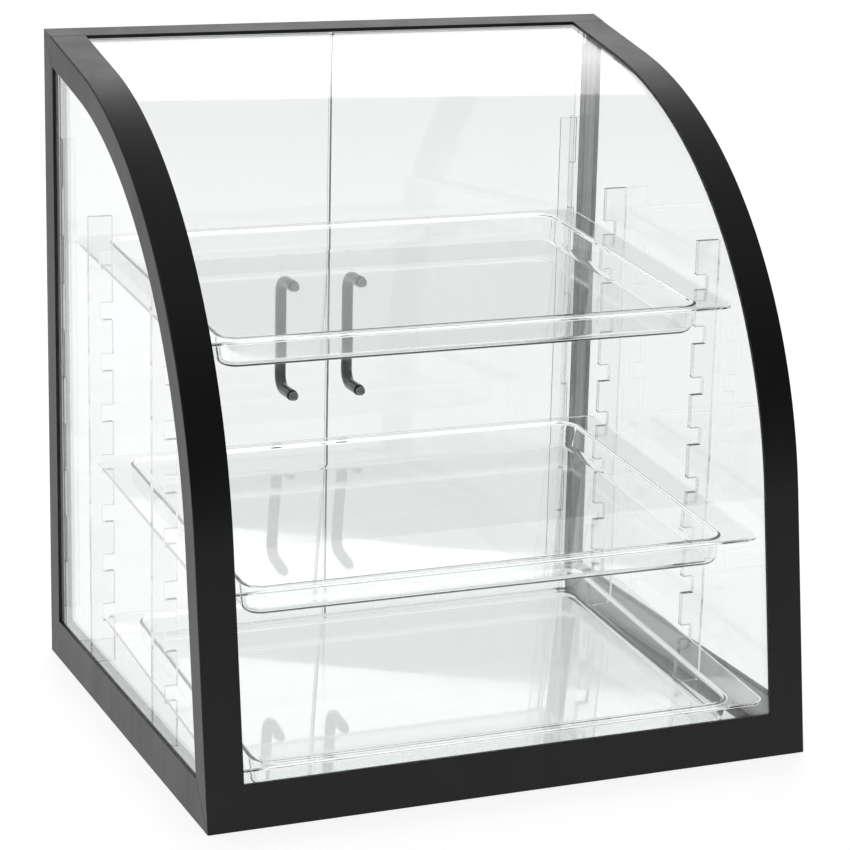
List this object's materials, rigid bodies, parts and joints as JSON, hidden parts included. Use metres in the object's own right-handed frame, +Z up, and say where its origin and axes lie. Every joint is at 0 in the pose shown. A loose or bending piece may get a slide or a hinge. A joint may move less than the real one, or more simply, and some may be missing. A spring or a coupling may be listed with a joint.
{
  "type": "countertop display case",
  "caption": "Countertop bakery display case: black angle frame with a curved clear front, clear tilted trays on notched racks, and clear hinged rear doors with pull handles.",
  "frame": {"origin": "middle of the whole footprint, rear handles included, on the surface that the case stands on", "axes": "+Z up, +Y towards the rear doors, +X to the right as a customer faces the curved front"},
  "size_m": [0.502, 0.469, 0.54],
  "materials": {
    "black_frame": "satin black",
    "clear_panel": "clear polished acrylic",
    "clear_door": "clear polished acrylic",
    "clear_tray": "clear moulded acrylic",
    "foam_tape": "matte grey foam",
    "clear_hinge": "clear moulded plastic",
    "handle": "gloss black",
    "screw": "plain steel"
  },
  "bodies": {
    "case": {"curved_front_panel": "clear_panel", "floor_panel": "clear_panel", "front_bottom_rail": "black_frame", "header_strip": "clear_panel", "left_bottom_rail": "black_frame", "left_curved_rail": "black_frame", "left_curved_tape": "foam_tape", "left_front_rack_strip": "clear_panel", "left_hinge_pin": "clear_hinge", "left_hinge_post_leaf": "clear_hinge", "left_post_tape": "foam_tape", "left_rail_tape": "foam_tape", "left_rear_post": "black_frame", "left_rear_rack_strip": "clear_panel", "left_side_panel": "clear_panel", "right_bottom_rail": "black_frame", "right_curved_rail": "black_frame", "right_curved_tape": "foam_tape", "right_front_rack_strip": "clear_panel", "right_hinge_pin": "clear_hinge", "right_hinge_post_leaf": "clear_hinge", "right_post_tape": "foam_tape", "right_rail_tape": "foam_tape", "right_rear_post": "black_frame", "right_rear_rack_strip": "clear_panel", "right_side_panel": "clear_panel", "top_rear_rail": "black_frame"},
    "left_door_body": {"left_door": "clear_door", "left_hinge_door_leaf": "clear_hinge", "left_door_handle": "handle", "left_handle_screws": "screw"},
    "right_door_body": {"right_door": "clear_door", "right_hinge_door_leaf": "clear_hinge", "right_door_handle": "handle", "right_handle_screws": "screw"},
    "bottom_tray_body": {"bottom_tray": "clear_tray"},
    "middle_tray_body": {"middle_tray": "clear_tray"},
    "top_tray_body": {"top_tray": "clear_tray"}
  },
  "joints": [
    {"name": "left_door_hinge", "type": "hinge", "parent": "case", "child": "left_door_body", "pos_m": [-0.234, 0.2008, 0.243], "axis": [0, 0, 1], "range_deg": [0, 170]},
    {"name": "right_door_hinge", "type": "hinge", "parent": "case", "child": "right_door_body", "pos_m": [0.234, 0.2008, 0.243], "axis": [0, 0, -1], "range_deg": [0, 170]},
    {"name": "bottom_tray_slide", "type": "slide", "parent": "case", "child": "bottom_tray_body", "axis": [0, 0.9969, 0.0787], "range_m": [-0.01, 0.085]},
    {"name": "middle_tray_slide", "type": "slide", "parent": "case", "child": "middle_tray_body", "axis": [0, 0.9969, 0.0787], "range_m": [-0.01, 0.06]},
    {"name": "top_tray_slide", "type": "slide", "parent": "case", "child": "top_tray_body", "axis": [0, 0.9969, 0.0787], "range_m": [-0.01, 0.008]}
  ]
}
